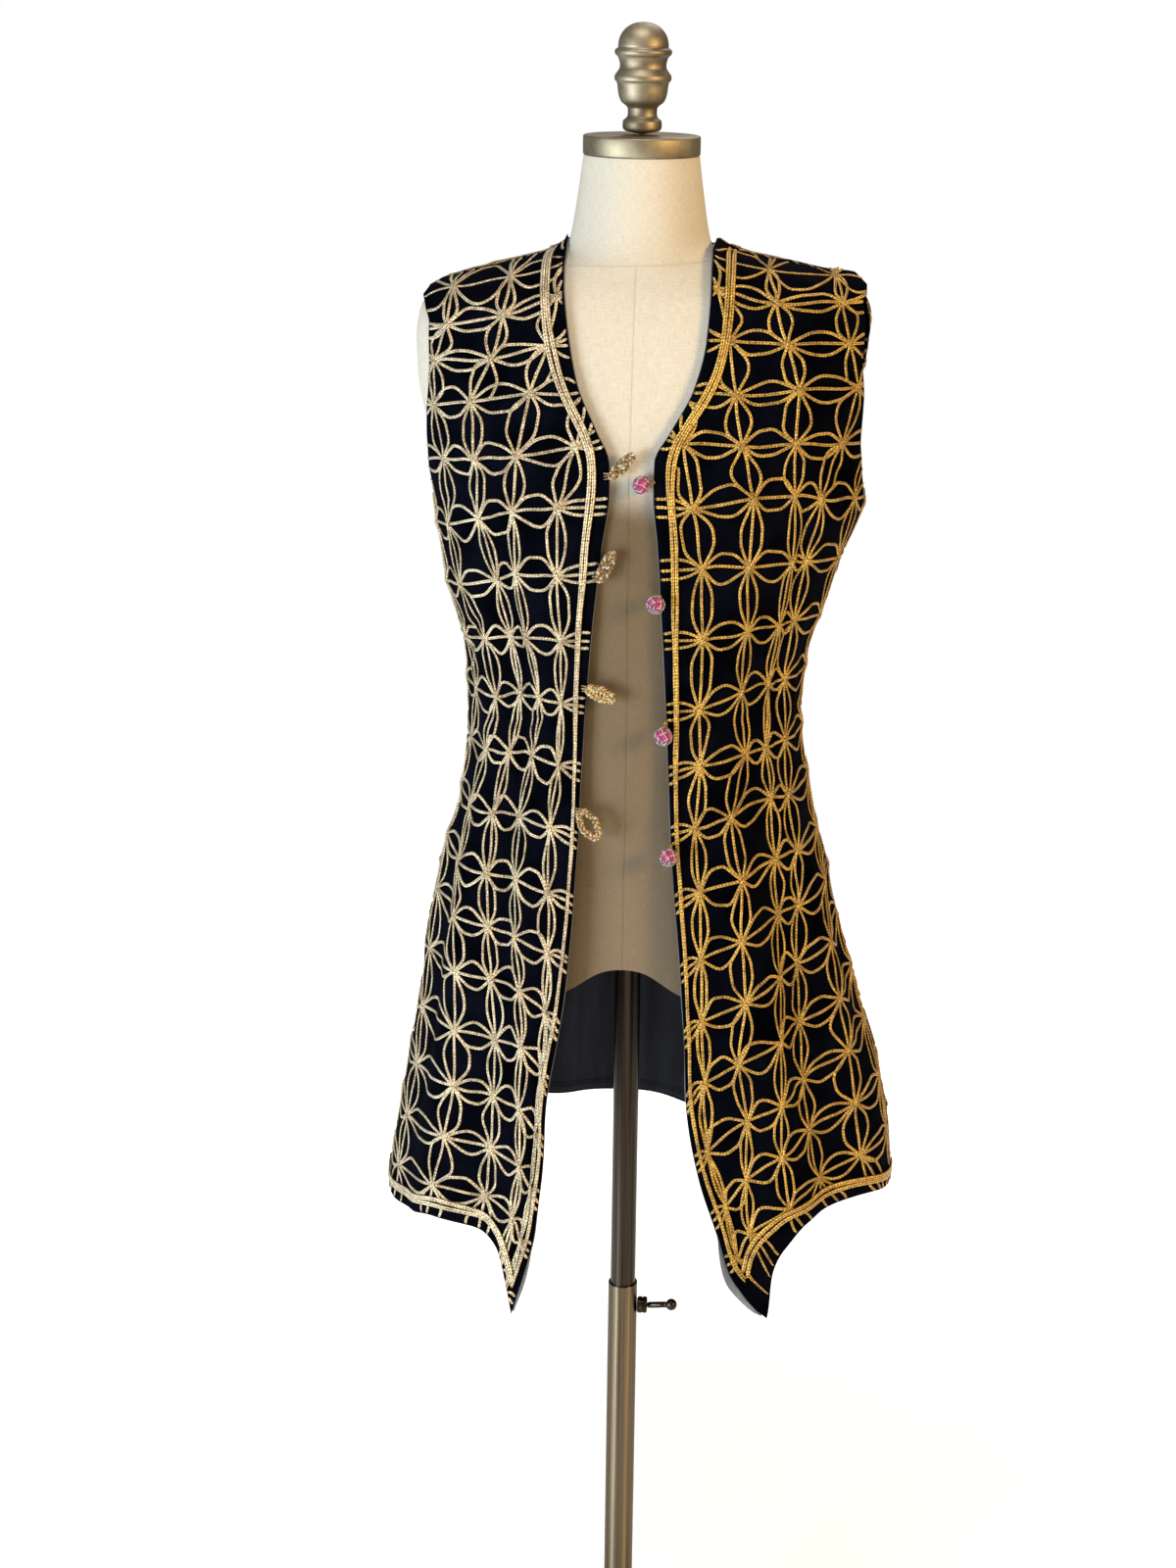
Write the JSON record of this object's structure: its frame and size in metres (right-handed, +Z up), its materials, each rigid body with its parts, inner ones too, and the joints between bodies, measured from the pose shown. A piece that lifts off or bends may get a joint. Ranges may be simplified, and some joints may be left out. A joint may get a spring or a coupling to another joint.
{
  "type": "embroidered folk vest on a dress form stand",
  "caption": "Long sleeveless velvet folk vest with couched braid, open down the front, worn by a limbless dress form on a telescopic stand that slides and turns.",
  "frame": {"origin": "Centre of the base's underside, on the floor, below the mast's axis.", "axes": "+Z is up along the mast. The vest's front faces -Y. +X points to the wearer's left."},
  "size_m": [0.486, 0.32, 1.68],
  "materials": {
    "velvet": "black cotton velvet with a short soft nap",
    "lining": "dark grey-blue plain woven lining",
    "gold_braid": "couched metallic gold braid",
    "netted_thread": "ball netted in pink and white thread",
    "linen": "cream linen stretched over the form",
    "antique_brass": "brushed antique brass",
    "dark_tube": "dark bronzed steel, brushed along its length"
  },
  "bodies": {
    "stand": {"base": "antique_brass", "lower_tube": "antique_brass"},
    "clamp": {"clamp_hub": "dark_tube", "clamp_bar": "dark_tube", "clamp_ball": "dark_tube"},
    "mast_tube": {"mast": "dark_tube"},
    "figure": {"dress_form": "linen", "neck_cap": "antique_brass", "finial": "antique_brass", "right_front": "velvet", "left_front": "velvet", "back": "velvet", "right_front_lining": "lining", "left_front_lining": "lining", "back_lining": "lining", "right_front_band": "gold_braid", "left_front_band": "gold_braid", "right_hem_band": "gold_braid", "left_hem_band": "gold_braid", "back_hem_band": "gold_braid", "back_neck_band": "gold_braid", "loop_1": "gold_braid", "loop_2": "gold_braid", "loop_3": "gold_braid", "loop_4": "gold_braid", "button_1": "netted_thread", "button_2": "netted_thread", "button_3": "netted_thread", "button_4": "netted_thread"}
  },
  "joints": [
    {"name": "clamp_turn", "type": "hinge", "parent": "stand", "child": "clamp", "pos_m": [0.02, 0, 0.443], "axis": [1, 0, 0], "range_deg": [-150, 150]},
    {"name": "height_slide", "type": "slide", "parent": "stand", "child": "mast_tube", "axis": [0, 0, 1], "range_m": [-0.2, 0.12]},
    {"name": "figure_swivel", "type": "hinge", "parent": "mast_tube", "child": "figure", "pos_m": [0, 0, 0.83], "axis": [0, 0, 1], "continuous": true}
  ]
}
